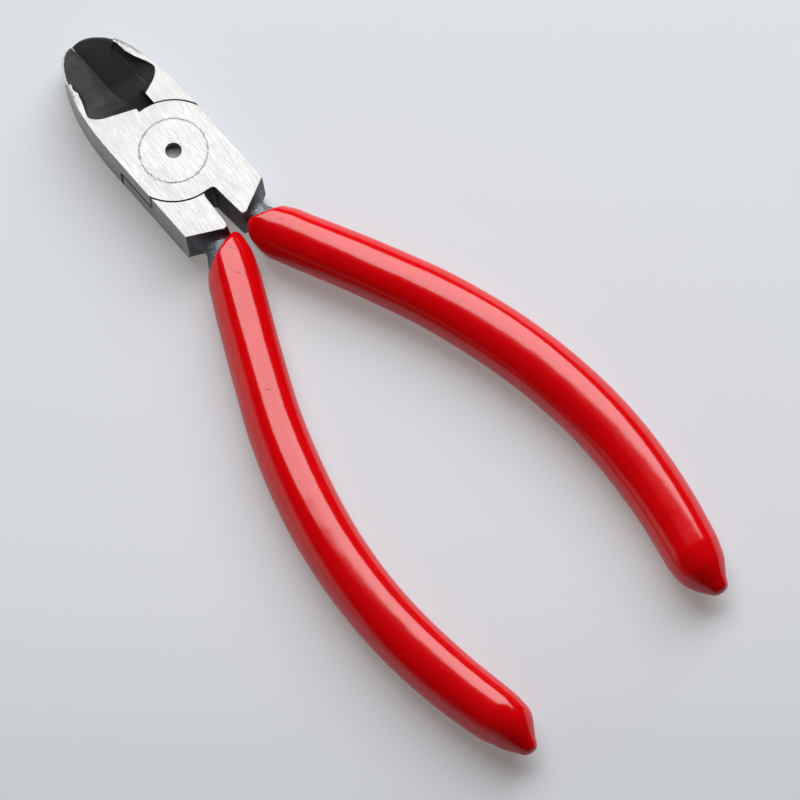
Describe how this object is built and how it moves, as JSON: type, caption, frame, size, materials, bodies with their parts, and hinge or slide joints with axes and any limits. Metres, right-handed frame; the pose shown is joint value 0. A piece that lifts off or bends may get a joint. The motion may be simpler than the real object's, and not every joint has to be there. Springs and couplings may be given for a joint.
{
  "type": "diagonal cutter",
  "caption": "Hand-held diagonal cutting pliers with a riveted lap joint, hollow-ground steel jaws and bowed handles in a glossy red dipped coat.",
  "frame": {"origin": "on the pivot axis, at the back face of the head, which the closed tool lies on", "axes": "+Y along the closed tool towards the jaw tips, +Z along the pivot axis out of the front face, +X to the right seen from the front"},
  "size_m": [0.065, 0.1606, 0.011],
  "materials": {
    "front_steel": "faces ground bright with fine lines, forged hollows, sides and neck dark",
    "rear_steel": "faces ground bright with fine lines, forged hollows, sides and neck dark",
    "rivet_steel": "ground flush with the head, with the same fine lines",
    "front_vinyl": "glossy dipped plastic",
    "rear_vinyl": "glossy dipped plastic"
  },
  "bodies": {
    "rear_lever": {"rear_half": "rear_steel", "pivot_rivet": "rivet_steel", "rear_grip_coat": "rear_vinyl"},
    "front_lever": {"front_half": "front_steel", "front_grip_coat": "front_vinyl"}
  },
  "joints": [
    {"name": "jaw_pivot", "type": "hinge", "parent": "rear_lever", "child": "front_lever", "pos_m": [0, 0, 0], "axis": [0, 0, 1], "range_deg": [0, 48]}
  ]
}
